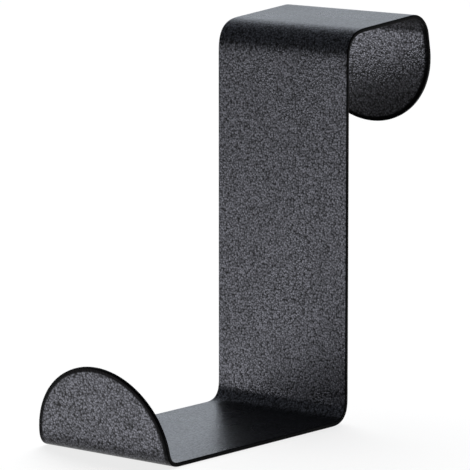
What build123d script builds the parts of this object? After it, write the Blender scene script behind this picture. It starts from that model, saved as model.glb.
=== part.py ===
from build123d import *
import math
import os

# Over-door hook: one strip of sheet steel, folded four times, with a half-round tab at each end.
# X runs across the strip, +Y from the front of the door to its back and +Z up. Lengths are millimetres.
# The origin is under the top plate, midway along its flat stretch and across the strip.

# Sheet
strip_width = 30.0
sheet_thickness = 0.75
edge_round = 0.2  # radius of the softened arrises along the cut rim

# Runs of the strip, in the order in which they follow each other
rear_shoulder = 6.35  # inside, from the rear fold's corner to the start of the tab's round end
door_gap = 22.5  # inside, from the upright plate to the rear tab, level with the top plate
upright_height = 71.5  # outside, from under the bottom plate to the front corner of the top plate
hook_depth = 48.8  # inside, from the upright plate to the front tab, level with the bottom plate
front_shoulder = 1.55  # outside, from the front fold's corner to the start of the tab's round end

# Slopes, in degrees
top_rise = 4.5  # the top plate climbs towards the back of the door
rear_flare = 10.0  # the rear tab leans away from the door
front_flare = 10.0  # the front tab leans away from the upright plate

# Inside radii of the four folds
rear_bend_radius = 4.0
top_bend_radius = 4.0
lower_bend_radius = 3.0
front_bend_radius = 2.0

# Sizes that follow from those above
tab_radius = strip_width / 2
arris_radius = min(edge_round, 0.45 * sheet_thickness)  # two arrises leave a little of the rim flat
rear_fold = 90 + top_rise - rear_flare
top_fold = 90 - top_rise
front_fold = 90 - front_flare
trim_reach = upright_height + hook_depth + door_gap + strip_width


def heading(degrees):
    """Unit vector in the side view, where x is the hook's Y and y is its Z."""
    angle = math.radians(degrees)
    return Vector(math.cos(angle), math.sin(angle))


def half_tangent(degrees):
    """Distance from a fold's corner to the end of its arc, for each unit of radius."""
    return math.tan(math.radians(degrees) / 2)


# Corners of the side view on the sheet's door side, from the rear tab's tip to the front tab's
climb = heading(top_rise)
top_run = door_gap / climb.X
flat_start = top_bend_radius * half_tangent(top_fold)
flat_end = top_run - rear_bend_radius * half_tangent(rear_fold)
top_corner = climb * (-(flat_start + flat_end) / 2)
rear_corner = top_corner + climb * top_run
rear_tip = rear_corner + heading(rear_flare - 90) * (rear_shoulder + tab_radius)
front_face_y = top_corner.X - sheet_thickness
front_top_z = top_corner.Y + sheet_thickness * (1 - climb.Y) / climb.X
bottom_z = front_top_z - upright_height
lower_corner = Vector(top_corner.X, bottom_z)
front_corner = Vector(front_face_y - hook_depth - sheet_thickness * half_tangent(front_fold), bottom_z)
front_tip = front_corner + heading(90 + front_flare) * (front_shoulder + tab_radius)
door_side_corners = [rear_tip, rear_corner, top_corner, lower_corner, front_corner, front_tip]


def offset_corners(corners, distance):
    """Corner line moved sideways, to the right of its run, with each corner kept on its fold's bisector."""
    runs = [(end - start).normalized() for start, end in zip(corners, corners[1:])]
    sides = [Vector(run.Y, -run.X) for run in runs]
    moved = [corners[0] + sides[0] * distance]
    for corner, before, after in zip(corners[1:-1], sides, sides[1:]):
        moved.append(corner + (before + after) * (distance / (1 + before.dot(after))))
    moved.append(corners[-1] + sides[-1] * distance)
    return moved


def folded_sheet():
    """Side view of the folded sheet, drawn out past the strip's width. A fold is rounder on its outside."""
    door_side = FilletPolyline(
        door_side_corners,
        radius=[
            rear_bend_radius,
            top_bend_radius,
            lower_bend_radius + sheet_thickness,
            front_bend_radius + sheet_thickness,
        ],
    )
    room_side = FilletPolyline(
        offset_corners(door_side_corners, sheet_thickness),
        radius=[
            rear_bend_radius + sheet_thickness,
            top_bend_radius + sheet_thickness,
            lower_bend_radius,
            front_bend_radius,
        ],
    )
    rear_end = Line(door_side @ 0, room_side @ 0)
    front_end = Line(door_side @ 1, room_side @ 1)
    section = make_face(Plane.YZ * (door_side + room_side + rear_end + front_end))
    return extrude(section, amount=strip_width, both=True)


def tab_outline(fold_corner, tip):
    """Prism square to a tab: as wide as the strip, with a half-round end that reaches the tab's tip."""
    along = (tip - fold_corner).normalized()
    centre = tip - along * tab_radius
    tab_plane = Plane(
        origin=(0, centre.X, centre.Y),
        x_dir=(1, 0, 0),
        z_dir=(0, -along.Y, along.X),
    )
    run_back = Pos(0, -trim_reach / 2) * Rectangle(strip_width, trim_reach)
    return extrude(tab_plane * (Circle(tab_radius) + run_back), amount=trim_reach, both=True)


def strip_outline():
    """Width of the strip in every stretch: straight sides between the two half-round ends."""
    front_split = (front_face_y + front_corner.X) / 2
    rear_split = (front_face_y + rear_corner.X) / 2
    middle_run = rear_split - front_split
    middle = Pos(0, front_split + middle_run / 2, 0) * Box(strip_width, middle_run, 2 * trim_reach)
    front = split(tab_outline(front_corner, front_tip), Plane.XZ.offset(-front_split), Keep.TOP)
    rear = split(tab_outline(rear_corner, rear_tip), Plane.XZ.offset(-rear_split), Keep.BOTTOM)
    return front + middle + rear


def rim_arrises(strip):
    """Edges between the cut rim and the sheet's two broad sides. Only the rim's faces look along X."""
    rim = [face for face in strip.faces() if abs(face.normal_at(0.25, 0.5).X) > 0.5]
    edges = [edge for face in rim for edge in face.edges()]
    return [edge for edge in edges if edges.count(edge) == 1]


def door_hook():
    """Folded sheet cut to the strip's outline, with its arrises softened."""
    strip = folded_sheet() & strip_outline()
    return fillet(rim_arrises(strip), arris_radius)


os.makedirs("parts", exist_ok=True)
hook = door_hook()
hook.label = "door_hook"
export_step(hook, "parts/door_hook.step")
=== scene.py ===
import math

import bpy
import numpy as np
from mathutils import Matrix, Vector


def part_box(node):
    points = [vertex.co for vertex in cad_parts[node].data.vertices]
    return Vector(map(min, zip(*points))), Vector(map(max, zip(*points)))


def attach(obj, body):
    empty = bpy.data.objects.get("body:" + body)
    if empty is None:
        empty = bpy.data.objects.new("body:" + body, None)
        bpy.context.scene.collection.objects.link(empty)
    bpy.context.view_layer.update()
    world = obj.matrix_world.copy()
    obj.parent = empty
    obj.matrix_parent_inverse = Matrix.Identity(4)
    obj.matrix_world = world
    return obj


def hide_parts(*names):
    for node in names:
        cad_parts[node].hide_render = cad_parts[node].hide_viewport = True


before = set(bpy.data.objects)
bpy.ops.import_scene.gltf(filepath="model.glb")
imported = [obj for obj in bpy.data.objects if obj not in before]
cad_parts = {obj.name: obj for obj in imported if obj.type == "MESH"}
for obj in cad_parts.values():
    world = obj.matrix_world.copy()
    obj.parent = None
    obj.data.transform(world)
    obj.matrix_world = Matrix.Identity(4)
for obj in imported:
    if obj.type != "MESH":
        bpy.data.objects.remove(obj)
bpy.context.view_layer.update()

print("frame:", ", ".join(sorted(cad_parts)))

# Over-door hook: one strip of sheet steel with four folds and two half-round ends. Metres and degrees.
# X runs across the strip, +Y from the front of the door to its back, +Z up.
hook = {
    "stripWidth": 0.030,
    "sheetThickness": 0.00075,
    "edgeRound": 0.0002,  # radius of the arrises along the cut rim
    "rearShoulder": 0.00635,  # inside, from the rear fold's corner to the start of the round end
    "doorGap": 0.0225,  # inside, from the upright plate to the rear tab
    "uprightHeight": 0.0715,  # outside, from under the bottom plate to the top plate's front corner
    "hookDepth": 0.0488,  # inside, from the upright plate to the front tab
    "frontShoulder": 0.00155,  # outside, from the front fold's corner to the start of the round end
    "topRise": 4.5,  # the top plate climbs towards the back
    "rearFlare": 10.0,  # the rear tab leans away from the door
    "frontFlare": 10.0,  # the front tab leans away from the upright plate
    "foldRadii": (0.004, 0.004, 0.003, 0.002),  # inside radii of even folds, rear to front
    "foldSoftness": (0.0, 0.7, 0.7, 0.7),  # 0 is an even fold, 1 one that starts and ends without a bend
    "foldStretch": (1.0, 1.39, 1.39, 1.39),  # how many times as long a soft fold is as an even one
    "hemWidth": (0.0007, 0.0011),  # from the rim, where the tabs' painted edge shade begins to fade and where it ends
    "shadedRimReach": 5,  # columns of each arris that take the rim's painted shade
    "flatInset": 1.4,  # where the flat columns end beside an arris, in arris radii from the outline
    "columnsAcross": 22,
    "columnsOnArris": 6,
    "rowsOnFlat": 22,
    "rowsOnFold": 26,
    "raysOnRound": 120,
    "stepsOnFold": 2000,  # for a fold's chord
    "stepsOnLine": 40000,  # for the whole folded line
}


def easedTurn(share, softness):
    # How much of a fold's turn is done at that share of its length: the share, less softness times one
    # sine wave. The softer the fold, the tighter its middle.
    return share - softness * np.sin(2 * np.pi * share) / (2 * np.pi)


def stripRuns(size):
    # Starts and lengths of the runs along the sheet's middle line, flat and fold in turn, from the rear
    # tip to the front tip, the folds' turns, and how far along the line the origin lies. A flat reaches
    # from corner to corner of the bare line, less what the folds at its ends take: for a fold by the
    # angle a, its chord over 2*cos(a/2).
    thick = size["sheetThickness"]
    half = size["stripWidth"] / 2
    rise = math.radians(size["topRise"])
    turns = np.radians([
        90 + size["topRise"] - size["rearFlare"],
        90 - size["topRise"],
        -90,
        size["frontFlare"] - 90,
    ])
    reach = np.tan(np.abs(turns) / 2)
    radii = np.array(size["foldRadii"]) + thick / 2
    swing = np.sign(turns) * reach * thick / 2  # from a corner of the door's side to the middle line's
    bare = np.array([
        size["rearShoulder"] + half + swing[0],
        size["doorGap"] / math.cos(rise) + swing[0] + swing[1],
        size["uprightHeight"] - thick * (1 - math.sin(rise)) / math.cos(rise) + swing[1] + swing[2],
        thick + size["hookDepth"] + thick * reach[3] + swing[2] + swing[3],
        size["frontShoulder"] + half + swing[3],
    ])
    folds = np.array(size["foldStretch"]) * radii * np.abs(turns)
    steps = (np.arange(size["stepsOnFold"]) + 0.5) / size["stepsOnFold"]
    share = easedTurn(steps, np.array(size["foldSoftness"])[:, None])
    taken = folds * np.cos(turns[:, None] * (share - 0.5)).mean(1) / (2 * np.cos(turns / 2))
    lengths = np.zeros(len(bare) + len(folds))
    lengths[0::2] = bare - np.append(taken, 0) - np.append(0, taken)
    lengths[1::2] = folds
    starts = np.append(0, np.cumsum(lengths))
    extra = taken - radii * reach  # what a soft fold takes beyond an even one
    origin = starts[2] + (lengths[2] + extra[1] - extra[0]) / 2
    return starts, lengths, turns, origin


def foldedLine(size, along):
    # Place and room-side normal of the middle line, in the side view. The heading is the first one plus
    # the turns done so far, and the place is the running sum of the heading's cosine and sine, moved so
    # that the origin lies under the top plate.
    starts, lengths, turns, origin = stripRuns(size)
    half = size["sheetThickness"] / 2
    fine = np.linspace(0, starts[-1], size["stepsOnLine"] + 1)
    share = np.clip((fine[:, None] - starts[1:-1:2]) / lengths[1::2], 0, 1)
    done = easedTurn(share, np.array(size["foldSoftness"])) @ turns
    heading = math.radians(90 + size["rearFlare"]) + done
    middle = (heading[1:] + heading[:-1]) / 2
    y = np.append(0, np.cumsum(fine[1] * np.cos(middle)))
    z = np.append(0, np.cumsum(fine[1] * np.sin(middle)))
    level = np.interp(origin, fine, heading)
    y += math.sin(level) * half - np.interp(origin, fine, y)
    z += -math.cos(level) * half - np.interp(origin, fine, z)
    turned = np.interp(along, fine, heading)
    place = np.stack((np.interp(along, fine, y), np.interp(along, fine, z)), -1)
    return place, np.stack((np.sin(turned), -np.cos(turned)), -1)


def stripOutline(size):
    # Loop round the flat strip: up one long side, round the front end, down the other side and round the
    # rear end. A side lies half the width from the axis, and an end is half a circle, which may begin
    # before the axis ends. For each point: its place along and across, its outward normal and the axis
    # row that it faces. The rows' own places go with them.
    starts = stripRuns(size)[0]
    half = size["stripWidth"] / 2
    rearCentre, frontCentre = half, starts[-1] - half
    stops = np.concatenate((
        [min(rearCentre, starts[1])],
        starts[1:-1],
        [max(frontCentre, starts[-2])],
    ))
    crowded = (1 - np.cos(np.linspace(0, np.pi, size["rowsOnFlat"] + 1)[:-1])) / 2  # towards both folds
    even = np.linspace(0, 1, size["rowsOnFold"] + 1)[:-1]
    spans = [
        start + (stop - start) * (even if run % 2 else crowded)
        for run, (start, stop) in enumerate(zip(stops, stops[1:]))
        if stop > start
    ]
    rows = np.concatenate(spans + [stops[-1:]])
    lean = (np.maximum(rows - frontCentre, 0) - np.maximum(rearCentre - rows, 0)) / half
    across = np.sqrt(1 - lean**2)
    turn = np.linspace(0, np.pi, size["raysOnRound"] + 1)
    frontTurn, rearTurn = (
        (math.asin(last) + turn * (1 - 2 * math.asin(last) / np.pi))[1:-1]
        for last in (lean[-1], -lean[0])
    )
    normalAlong = np.concatenate((lean, np.sin(frontTurn), lean[::-1], -np.sin(rearTurn)))
    normalAcross = np.concatenate((across, np.cos(frontTurn), -across[::-1], -np.cos(rearTurn)))
    onSide = np.concatenate((
        rows,
        frontCentre + half * np.sin(frontTurn),
        rows[::-1],
        rearCentre - half * np.sin(rearTurn),
    ))
    number = np.arange(len(rows))
    axisRow = np.concatenate((
        number,
        np.full(len(frontTurn), number[-1]),
        number[::-1],
        np.zeros(len(rearTurn), int),
    ))
    return onSide, half * normalAcross, normalAlong, normalAcross, rows, axisRow


def rimSection(size):
    # From the axis on the room's side out to the rim, over its two round arrises and back to the axis on
    # the door's side: share of the way out, inset from the outline and height over the middle line. The
    # flat columns gather towards the rim, as 1 less a square.
    radius, half = size["edgeRound"], size["sheetThickness"] / 2
    flat = 1 - np.linspace(1, 0, size["columnsAcross"] + 1) ** 2
    angle = np.linspace(0, np.pi / 2, size["columnsOnArris"] + 1)
    share = np.concatenate((flat, np.ones(len(angle))))
    inset = np.concatenate((np.full(len(flat), size["flatInset"] * radius), radius * (1 - np.sin(angle))))
    height = np.concatenate((np.full(len(flat), half), half - radius * (1 - np.cos(angle))))
    return (
        np.concatenate((share, share[::-1])),
        np.concatenate((inset, inset[::-1])),
        np.concatenate((height, -height[::-1])),
    )


def eased(share):
    # From 0 to 1 with a level start and end: three squares less two cubes.
    share = np.clip(share, 0, 1)
    return share * share * (3 - 2 * share)


def onTab(size, along):
    # 1 on the two tabs, easing to 0 along their folds.
    starts, lengths = stripRuns(size)[:2]
    return eased((starts[2] - along) / lengths[1]) + eased((along - starts[-3]) / lengths[-2])


def foldedStrip(name, size, coat, rim):
    # The rim's section is carried round the outline, and the flat strip is then folded: a point at s
    # along, x across and h above the middle line goes to the folded line's place at s, plus h times its
    # normal there. The painted edge shade eases from 1 to 0 with the distance from the rim, and is on the
    # tabs alone: a dark band that stands in for shade along the tabs' edges.
    onSide, across, normalAlong, normalAcross, rows, axisRow = stripOutline(size)
    share, inset, height = rimSection(size)
    axis = rows[axisRow][:, None]
    along = axis + share * (onSide[:, None] - inset * normalAlong[:, None] - axis)
    wide = share * (across[:, None] - inset * normalAcross[:, None])
    place, normal = foldedLine(size, along)
    grid = np.concatenate((wide[..., None], place + height[None, :, None] * normal), -1)
    fadeStart, fadeEnd = size["hemWidth"]
    fromRim = inset + (1 - share) * (size["stripWidth"] / 2 - inset)
    # Painted shade: a dark band along the tabs' edges
    hem = eased((fadeEnd - fromRim) / (fadeEnd - fadeStart)) * onTab(size, along)

    # The first and last columns lie on the axis, where both halves of the loop share one row of points.
    count, columns = grid.shape[:2]
    inner = count * (columns - 2)
    points = np.concatenate((grid[:, 1:-1].reshape(-1, 3), grid[:len(rows), 0], grid[:len(rows), -1]))
    hems = np.concatenate((hem[:, 1:-1].reshape(-1), np.zeros(2 * len(rows))))
    ids = np.zeros((count, columns), int)
    ids[:, 0] = inner + axisRow
    ids[:, 1:-1] = np.arange(inner).reshape(count, columns - 2)
    ids[:, -1] = inner + len(rows) + axisRow

    # Around a round end's centre two corners of a face are one point, so the face is a triangle.
    after = np.roll(ids, -1, 0)
    quads = np.stack((ids[:, 1:], ids[:, :-1], after[:, :-1], after[:, 1:]), -1).reshape(-1, 4)
    atStart = quads[:, 1] == quads[:, 2]
    atEnd = quads[:, 0] == quads[:, 3]
    whole = ~(atStart | atEnd)
    faces = quads[whole].tolist() + quads[atStart][:, [0, 1, 3]].tolist() + quads[atEnd][:, :3].tolist()
    # Painted shade: the rim and the arris columns beside it take the dark, matt second material.
    onShadedRim = np.tile(np.abs(np.arange(columns - 1) - (columns - 2) / 2) <= size["shadedRimReach"], count)
    slots = np.concatenate((onShadedRim[whole], onShadedRim[atStart], onShadedRim[atEnd])).astype(np.int32)

    mesh = bpy.data.meshes.new(name)
    mesh.from_pydata(points.tolist(), [], faces)
    mesh.materials.append(coat)
    mesh.materials.append(rim)
    mesh.polygons.foreach_set("material_index", slots)
    mesh.polygons.foreach_set("use_smooth", np.ones(len(faces), bool))
    mesh.attributes.new("hem", "FLOAT", "POINT").data.foreach_set("value", hems.astype(np.float32))
    mesh.update()
    piece = bpy.data.objects.new(name, mesh)
    bpy.context.scene.collection.objects.link(piece)
    return piece


def setInputs(tree, node, inputs):
    # Links an input to the output socket that it is given, or sets it to a plain value.
    for key, given in inputs.items():
        if isinstance(given, bpy.types.NodeSocket):
            tree.links.new(given, node.inputs[key])
        else:
            node.inputs[key].default_value = given


def addNode(tree, kind, inputs, **settings):
    # Shader node of that kind, with its settings and then its inputs.
    node = tree.nodes.new("ShaderNode" + kind)
    for name, value in settings.items():
        setattr(node, name, value)
    setInputs(tree, node, inputs)
    return node


def addMath(tree, operation, *values):
    # One step of arithmetic on plain numbers.
    return addNode(tree, "Math", dict(enumerate(values)), operation=operation).outputs[0]


def addVector(tree, operation, *values):
    # One step of arithmetic on vectors. A distance or a dot product gives a plain number.
    node = addNode(tree, "VectorMath", dict(enumerate(values)), operation=operation)
    return node.outputs["Value" if operation in ("DISTANCE", "DOT_PRODUCT") else "Vector"]


def addRange(tree, value, start, end, shape="LINEAR"):
    # Carries a value from one range to another, and keeps it within that.
    inputs = {
        "Value": value,
        "From Min": start[0],
        "From Max": start[1],
        "To Min": end[0],
        "To Max": end[1],
    }
    return addNode(tree, "MapRange", inputs, interpolation_type=shape).outputs[0]


def addColour(tree, share, first, second):
    # Colour that lies that share of the way from the first one to the second.
    colourIn, colourOut = (6, 7), 2  # the colour sockets of a Mix node
    inputs = {"Factor": share, colourIn[0]: first, colourIn[1]: second}
    return addNode(tree, "Mix", inputs, data_type="RGBA").outputs[colourOut]


def opaque(colour):
    # The colour with a full alpha
    return (*colour, 1)


# Black powder coat with a fine sandy grain. It mirrors as a metal does, and its colours say how much:
# bright grains in a dark ground. Metres.
coatLook = {
    "groundColour": (0.002, 0.00202, 0.00232),
    "grainColour": (0.256, 0.2586, 0.2985),
    "hemColour": (0.004, 0.004, 0.0043),  # painted shade along the tabs' edges
    "grainSize": 0.00036,
    "grainHeight": 0.000036,
    "roughness": (0.26, 0.30),  # by the slow drift of the coat
    "metallic": 1.0,
    "haze": 0.35,  # a broad second gloss, which the painted shade along the tabs' edges takes away
    "hazeRoughness": 0.45,
    "driftSize": 0.014,
}

# The cut rim and most of its arrises: dark and matt, painted shade for the dark surroundings they mirror.
shadedRimLook = {
    "groundColour": (0.003, 0.003, 0.0032),
    "grainColour": (0.006, 0.006, 0.0065),
    "hemColour": (0.004, 0.004, 0.0043),
    "grainSize": 0.00038,
    "grainHeight": 0.00003,
    "roughness": (0.55, 0.65),
    "metallic": 1.0,
    "haze": 0.0,
    "hazeRoughness": 0.5,
    "driftSize": 0.014,
}

# Sandy grain of both
sandShape = {
    "reach": 0.95,  # where a grain's shine ends, in grain sizes from its middle
    "chance": 0.6,  # share of its shine that is left to chance
}


def sandGroup(shape):
    # Grain: a shine around each of many scattered points that eases from 1 to 0 over its reach, dimmed by
    # chance. Height: a cone around each point, 1 less the distance. Drift: slow noise.
    group = bpy.data.node_groups.new("sandGrain", "ShaderNodeTree")
    for name, way, kind in (
        ("Vector", "INPUT", "NodeSocketVector"),
        ("Grain Size", "INPUT", "NodeSocketFloat"),
        ("Drift Size", "INPUT", "NodeSocketFloat"),
        ("Height", "OUTPUT", "NodeSocketFloat"),
        ("Grain", "OUTPUT", "NodeSocketFloat"),
        ("Drift", "OUTPUT", "NodeSocketFloat"),
    ):
        group.interface.new_socket(name, in_out=way, socket_type=kind)
    given = group.nodes.new("NodeGroupInput").outputs
    grainScale = addMath(group, "DIVIDE", 1, given["Grain Size"])
    driftScale = addMath(group, "DIVIDE", 1, given["Drift Size"])
    cells = addNode(group, "TexVoronoi", {"Vector": given["Vector"], "Scale": grainScale}).outputs
    drift = addNode(group, "TexNoise", {"Vector": given["Vector"], "Scale": driftScale}).outputs
    around = addRange(group, cells["Distance"], (0, shape["reach"]), (1, 0), "SMOOTHSTEP")
    chance = addNode(group, "SeparateColor", {"Color": cells["Color"]}).outputs["Red"]
    dimmed = addMath(group, "MULTIPLY_ADD", chance, shape["chance"], 1 - shape["chance"])
    setInputs(group, group.nodes.new("NodeGroupOutput"), {
        "Height": addMath(group, "SUBTRACT", 1, cells["Distance"]),
        "Grain": addMath(group, "MULTIPLY", around, dimmed),
        "Drift": drift["Fac"],
    })
    return group


def coatMaterial(name, look, group):
    # Colour: from ground to grain by the grain, and to the painted edge shade's colour along the tabs'
    # edges. Haze: less by that painted shade. Roughness: by the drift. Relief: by the grain's height.
    material = bpy.data.materials.new(name)
    material.use_nodes = True
    tree = material.node_tree
    inputs = {
        "Vector": addNode(tree, "TexCoord", {}).outputs["Object"],
        "Grain Size": look["grainSize"],
        "Drift Size": look["driftSize"],
    }
    sand = addNode(tree, "Group", inputs, node_tree=group).outputs
    hem = addNode(tree, "Attribute", {}, attribute_name="hem").outputs["Fac"]
    colour = addColour(tree, sand["Grain"], opaque(look["groundColour"]), opaque(look["grainColour"]))
    relief = addNode(tree, "Bump", {"Height": sand["Height"], "Distance": look["grainHeight"]})
    noiseRange = (0.3, 0.7)  # what most of the noise lies between
    # Painted shade along the tabs' edges: it darkens the colour and takes away the haze.
    setInputs(tree, tree.nodes["Principled BSDF"], {
        "Base Color": addColour(tree, hem, colour, opaque(look["hemColour"])),
        "Metallic": look["metallic"],
        "Roughness": addRange(tree, sand["Drift"], noiseRange, look["roughness"]),
        "Coat Weight": addRange(tree, hem, (0, 1), (look["haze"], 0)) if look["haze"] else 0,
        "Coat Roughness": look["hazeRoughness"],
        "Normal": relief.outputs["Normal"],
    })
    return material


sandGrain = sandGroup(sandShape)
coat = coatMaterial("powderCoat", coatLook, sandGrain)
rim = coatMaterial("powderCoatShadedRim", shadedRimLook, sandGrain)
doorHook = foldedStrip("doorHook", hook, coat, rim)
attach(doorHook, "root")
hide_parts("door_hook")
print("hook:", len(doorHook.data.vertices), "points,", len(doorHook.data.polygons), "faces")

# A lit backdrop behind the hook, a dim room in front of it and a dark ceiling, over a white floor, with
# one soft lamp, and a card that only reflections show. Metres and degrees.
studio = {
    "backdropColour": (0.87, 0.93, 1.0),
    "backdropAzimuth": 219.6,  # the middle of the backdrop
    "backdropLight": 0.82,
    "backdropTurn": (20.0, 90.0),  # how far round from its middle it begins to fade, and where it ends
    "backdropHeight": (10.0, 75.0),  # height over the horizon where it begins to fade, and where it ends
    "roomLight": 0.1,
    "lampAzimuth": 220.0,
    "lampHeight": 50.0,
    "lampLight": 4.1,
    "lampSpread": 50.0,
    "floorReach": 1.6,
    "floorSides": 180,
    "floorColour": (0.9, 0.9, 0.9),
    "floorGlow": 0.8,  # share of plain white in what the camera sees of the floor
    "mirroredGlow": (1.2, 1.0),  # how strong the floor glows in reflections, near the hook and far from it: a painted pool of light
    "mirroredReach": (0.08, 0.30),  # where that begins to change, and where it stops
    "contactShadowPlace": (0.0, -0.0377),  # middle and half size of a painted shadow under the bottom plate, which only reflections show
    "contactShadowSize": (0.015, 0.0257),
    "contactShadowGlow": 0.4,  # share of the glow that is left there
    "contactShadowReach": 0.004,  # how far round it the glow is held back
    "shadePlace": (-0.046, 0.018),  # middle of a round painted shadow beside the rear of the hook, which only reflections show
    "shadeGlow": 0.12,
    "shadeReach": (0.022, 0.050),
    "cardEdges": (-0.050, 0.001, -0.055, -0.006),  # left, right, bottom and top
    "cardDepth": -0.0108,
    "cardLight": 1.77,
    "cardFade": (-0.0184, -0.0149),  # heights where it goes from dark to bright, in the hook's middle plane
    "cardSlope": 0.22,  # how steeply the fade climbs to the right
}


def direction(azimuth, height):
    # Unit vector at that azimuth, from 0 in front of the door to 90 at its right, and that height: the
    # azimuth's sine and cosine times the height's cosine, and the height's sine.
    a, h = math.radians(azimuth), math.radians(height)
    return Vector((math.sin(a) * math.cos(h), -math.cos(a) * math.cos(h), math.sin(h)))


def studioWorld(look):
    # An even room, and a backdrop that fades with height over the horizon times the turn away from its
    # middle. The camera sees plain white instead.
    world = bpy.data.worlds.new("studioWorld")
    world.use_nodes = True
    tree = world.node_tree
    place = addNode(tree, "TexCoord", {}).outputs["Generated"]
    height = addNode(tree, "SeparateXYZ", {"Vector": place}).outputs["Z"]
    facing = addVector(tree, "DOT_PRODUCT", place, direction(look["backdropAzimuth"], 0))
    turnFrom, turnTo = np.cos(np.radians(look["backdropTurn"]))
    turned = addRange(tree, facing, (turnTo, turnFrom), (0, 1), "SMOOTHSTEP")
    raised = addRange(tree, height, np.sin(np.radians(look["backdropHeight"])), (1, 0), "SMOOTHSTEP")
    backdrop = addMath(tree, "MULTIPLY", turned, raised)
    light = addMath(tree, "MULTIPLY_ADD", backdrop, look["backdropLight"], look["roomLight"])
    room = tree.nodes["Background"]
    setInputs(tree, room, {"Color": opaque(look["backdropColour"]), "Strength": light})
    white = addNode(tree, "Background", {"Color": (1, 1, 1, 1)})
    rays = addNode(tree, "LightPath", {}).outputs
    seen = addNode(tree, "MixShader", {0: rays["Is Camera Ray"], 1: room.outputs[0], 2: white.outputs[0]})
    setInputs(tree, tree.nodes["World Output"], {"Surface": seen.outputs[0]})
    bpy.context.scene.world = world


def emptyMaterial(name):
    # A material with no shader yet
    material = bpy.data.materials.new(name)
    material.use_nodes = True
    material.node_tree.nodes.remove(material.node_tree.nodes["Principled BSDF"])
    return material


def flatPanel(name, corners, material):
    # One flat face through those corners
    mesh = bpy.data.meshes.new(name)
    mesh.from_pydata(corners, [], [list(range(len(corners)))])
    mesh.materials.append(material)
    panel = bpy.data.objects.new(name, mesh)
    bpy.context.scene.collection.objects.link(panel)
    return panel


def studioFloor(look, level):
    # A round table top. The camera sees a share of plain white over the lit floor, so that the shadow
    # stays.
    # Reflections see only a glow, a painted pool of light that changes with the distance from the hook, and
    # two painted shadows dim it: by the distance from a rectangle under the bottom plate, and by the
    # distance from a point beside the rear.
    material = emptyMaterial("studioFloor")
    tree = material.node_tree
    place = addNode(tree, "TexCoord", {}).outputs["Object"]
    rays = addNode(tree, "LightPath", {}).outputs
    away = addVector(tree, "DISTANCE", place, (0, 0, level))
    # Painted pool of light: reflections see the floor glow stronger near the hook.
    pool = addRange(tree, away, look["mirroredReach"], look["mirroredGlow"], "SMOOTHSTEP")
    # Painted shadows: the glow is dimmed under the bottom plate and beside the rear.
    offset = addVector(tree, "SUBTRACT", place, (*look["contactShadowPlace"], level))
    past = addVector(tree, "SUBTRACT", addVector(tree, "ABSOLUTE", offset), (*look["contactShadowSize"], 0))
    beside = addVector(tree, "DISTANCE", addVector(tree, "MAXIMUM", past, (0, 0, 0)), (0, 0, 0))
    contactShadow = addRange(tree, beside, (0, look["contactShadowReach"]), (look["contactShadowGlow"], 1), "SMOOTHSTEP")
    fromShade = addVector(tree, "DISTANCE", place, (*look["shadePlace"], level))
    shade = addRange(tree, fromShade, look["shadeReach"], (look["shadeGlow"], 1), "SMOOTHSTEP")
    mirrored = addMath(tree, "MULTIPLY", pool, addMath(tree, "MULTIPLY", contactShadow, shade))
    strength = addNode(tree, "Mix", {"Factor": rays["Is Camera Ray"], "A": mirrored, "B": 1}).outputs[0]
    inMirror = addMath(tree, "MAXIMUM", rays["Is Glossy Ray"], rays["Is Transmission Ray"])
    share = addMath(tree, "MULTIPLY_ADD", rays["Is Camera Ray"], look["floorGlow"], inMirror)
    lit = addNode(tree, "BsdfDiffuse", {"Color": opaque(look["floorColour"])})
    glow = addNode(tree, "Emission", {"Strength": strength})
    mix = addNode(tree, "MixShader", {0: share, 1: lit.outputs[0], 2: glow.outputs[0]})
    setInputs(tree, tree.nodes["Material Output"], {"Surface": mix.outputs[0]})
    turn = np.linspace(0, 2 * np.pi, look["floorSides"], endpoint=False)
    rim = look["floorReach"] * np.stack((np.cos(turn), np.sin(turn)), 1)
    floor = flatPanel("studioFloor", np.column_stack((rim, np.full(len(rim), level))).tolist(), material)


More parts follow.
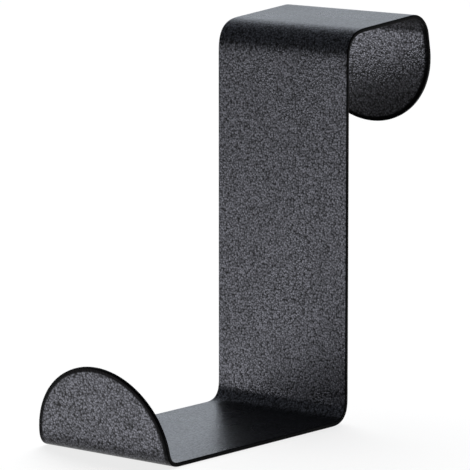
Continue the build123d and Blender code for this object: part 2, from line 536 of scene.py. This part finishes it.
def studioCard(look):
    # A card behind the upright plate, mostly to its left, dark below and bright above a slanting fade: by
    # the height less the slope times the way to the right. Only reflections show it, and only from
    # behind: the rear tab's inner side mirrors it.
    material = emptyMaterial("studioCard")
    tree = material.node_tree
    place = addNode(tree, "TexCoord", {}).outputs["Object"]
    height = addVector(tree, "DOT_PRODUCT", place, (-look["cardSlope"], 0, 1))
    light = addRange(tree, height, look["cardFade"], (0, look["cardLight"]), "SMOOTHSTEP")
    glow = addNode(tree, "Emission", {"Strength": light})
    clear = addNode(tree, "BsdfTransparent", {})
    turned = addNode(tree, "NewGeometry", {}).outputs["Backfacing"]
    mix = addNode(tree, "MixShader", {0: turned, 1: glow.outputs[0], 2: clear.outputs[0]})
    setInputs(tree, tree.nodes["Material Output"], {"Surface": mix.outputs[0]})
    left, right, bottom, top = look["cardEdges"]
    depth = look["cardDepth"]
    corners = [(left, depth, bottom), (left, depth, top), (right, depth, top), (right, depth, bottom)]
    card = flatPanel("studioCard", corners, material)
    card.visible_camera = card.visible_diffuse = card.visible_shadow = False


def studioLamp(look):
    # A far lamp, as wide as its spread, that lights the floor and leaves no glare on the coat
    lamp = bpy.data.lights.new("studioLamp", "SUN")
    lamp.energy = look["lampLight"]
    lamp.angle = math.radians(look["lampSpread"])
    holder = bpy.data.objects.new("studioLamp", lamp)
    holder.rotation_mode = "QUATERNION"
    holder.rotation_quaternion = direction(look["lampAzimuth"], look["lampHeight"]).to_track_quat("Z", "Y")
    holder.visible_glossy = False
    bpy.context.scene.collection.objects.link(holder)


studioWorld(studio)
studioFloor(studio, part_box("door_hook")[0].z)
studioCard(studio)
studioLamp(studio)
print("studio: floor, card, lamp and surroundings")

# Where the photo was taken from. Metres and degrees, and millimetres for the lens and its sensor.
view = {
    "target": (-0.006336, -0.017716, -0.038391),
    "azimuth": 39.4,
    "height": 9.163,
    "distance": 0.7335,
    "lens": 307.2,
    "sensor": 36.0,
    "clip": (0.01, 50.0),
}

camera = bpy.data.cameras.new("photoCamera")
camera.lens, camera.sensor_width = view["lens"], view["sensor"]
camera.clip_start, camera.clip_end = view["clip"]
photoCamera = bpy.data.objects.new("photoCamera", camera)
toCamera = direction(view["azimuth"], view["height"])
photoCamera.location = Vector(view["target"]) + toCamera * view["distance"]
photoCamera.rotation_mode = "QUATERNION"
photoCamera.rotation_quaternion = toCamera.to_track_quat("Z", "Y")
bpy.context.scene.collection.objects.link(photoCamera)
bpy.context.scene.camera = photoCamera
bpy.context.scene.view_settings.view_transform = "Standard"
print("camera: set")
